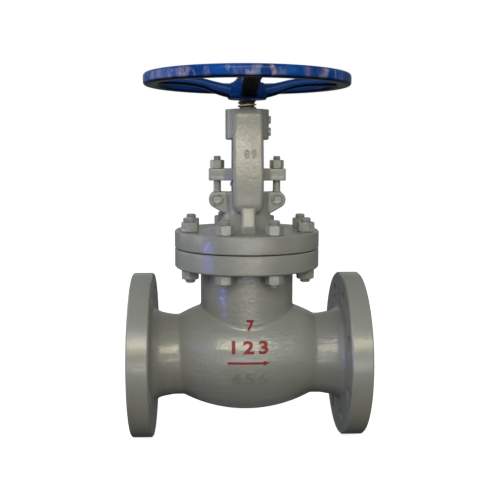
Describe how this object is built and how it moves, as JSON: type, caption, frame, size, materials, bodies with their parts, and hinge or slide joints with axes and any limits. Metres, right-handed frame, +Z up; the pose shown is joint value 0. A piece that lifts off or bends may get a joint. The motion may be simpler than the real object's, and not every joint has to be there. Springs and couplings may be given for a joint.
{
  "type": "globe valve",
  "caption": "Flanged globe valve with a bolted bonnet, an open yoke, a gland with swing bolts and a rising handwheel on a threaded stem.",
  "frame": {"origin": "where the pipe's axis meets the stem's axis", "axes": "+X along the pipe in the direction of flow, +Z up the stem towards the handwheel, +Y away from the front of the valve"},
  "size_m": [0.356, 0.312, 0.5705],
  "materials": {
    "grey_paint": "satin warm grey paint on cast steel",
    "painted_fasteners": "the same grey paint over steel fasteners",
    "blue_paint": "glossy blue enamel on cast iron",
    "stem_steel": "turned steel, browned and greased",
    "trim_steel": "turned stainless steel",
    "bronze": "machined bronze",
    "graphite": "matt graphite",
    "dark_steel": "blackened steel"
  },
  "bodies": {
    "valve_body": {"body": "grey_paint", "seat_ring": "trim_steel", "bonnet": "grey_paint", "bonnet_gasket": "graphite", "backseat_bush": "bronze", "packing_washer": "trim_steel", "packing_ring_1": "graphite", "packing_ring_2": "graphite", "packing_ring_3": "graphite", "packing_ring_4": "graphite", "packing_ring_5": "graphite", "gland": "grey_paint", "gland_flange": "grey_paint", "yoke_nut": "bronze", "bonnet_stud_1": "painted_fasteners", "bonnet_stud_2": "painted_fasteners", "bonnet_stud_3": "painted_fasteners", "bonnet_stud_4": "painted_fasteners", "bonnet_stud_5": "painted_fasteners", "bonnet_stud_6": "painted_fasteners", "bonnet_stud_7": "painted_fasteners", "bonnet_stud_8": "painted_fasteners", "bonnet_nut_top_1": "painted_fasteners", "bonnet_nut_top_2": "painted_fasteners", "bonnet_nut_top_3": "painted_fasteners", "bonnet_nut_top_4": "painted_fasteners", "bonnet_nut_top_5": "painted_fasteners", "bonnet_nut_top_6": "painted_fasteners", "bonnet_nut_top_7": "painted_fasteners", "bonnet_nut_top_8": "painted_fasteners", "bonnet_nut_under_1": "painted_fasteners", "bonnet_nut_under_2": "painted_fasteners", "bonnet_nut_under_3": "painted_fasteners", "bonnet_nut_under_4": "painted_fasteners", "bonnet_nut_under_5": "painted_fasteners", "bonnet_nut_under_6": "painted_fasteners", "bonnet_nut_under_7": "painted_fasteners", "bonnet_nut_under_8": "painted_fasteners", "eyebolt_pin_left": "painted_fasteners", "eyebolt_pin_right": "painted_fasteners"},
    "disc_assembly": {"disc": "trim_steel", "disc_nut": "trim_steel", "thrust_pad": "bronze"},
    "stem_and_handwheel": {"stem": "stem_steel", "handwheel": "blue_paint", "wheel_washer": "dark_steel", "wheel_nut": "dark_steel"},
    "left_eyebolt": {"eyebolt_left": "painted_fasteners"},
    "right_eyebolt": {"eyebolt_right": "painted_fasteners"},
    "left_gland_nut": {"eyebolt_nut_left": "painted_fasteners"},
    "right_gland_nut": {"eyebolt_nut_right": "painted_fasteners"}
  },
  "joints": [
    {"name": "stem_lift", "type": "slide", "parent": "valve_body", "child": "disc_assembly", "axis": [0, 0, 1], "range_m": [0, 0.03]},
    {"name": "handwheel_turn", "type": "hinge", "parent": "disc_assembly", "child": "stem_and_handwheel", "pos_m": [0, 0, 0.42], "axis": [0, 0, 1], "range_deg": [0, 2160]},
    {"name": "left_eyebolt_swing", "type": "hinge", "parent": "valve_body", "child": "left_eyebolt", "pos_m": [-0.0455, 0, 0.242], "axis": [0, -1, 0], "range_deg": [0, 75]},
    {"name": "right_eyebolt_swing", "type": "hinge", "parent": "valve_body", "child": "right_eyebolt", "pos_m": [0.0455, 0, 0.242], "axis": [0, 1, 0], "range_deg": [0, 75]},
    {"name": "left_gland_nut_travel", "type": "slide", "parent": "left_eyebolt", "child": "left_gland_nut", "axis": [0, 0, 1], "range_m": [0, 0.01113]},
    {"name": "right_gland_nut_travel", "type": "slide", "parent": "right_eyebolt", "child": "right_gland_nut", "axis": [0, 0, 1], "range_m": [0, 0.01113]}
  ],
  "couplings": [
    {"joint": "stem_lift", "follows": "handwheel_turn", "m_per_rad": 0.00079577},
    {"joint": "left_gland_nut_travel", "follows": "left_eyebolt_swing", "m_per_rad": 0.0085},
    {"joint": "right_gland_nut_travel", "follows": "right_eyebolt_swing", "m_per_rad": 0.0085}
  ]
}
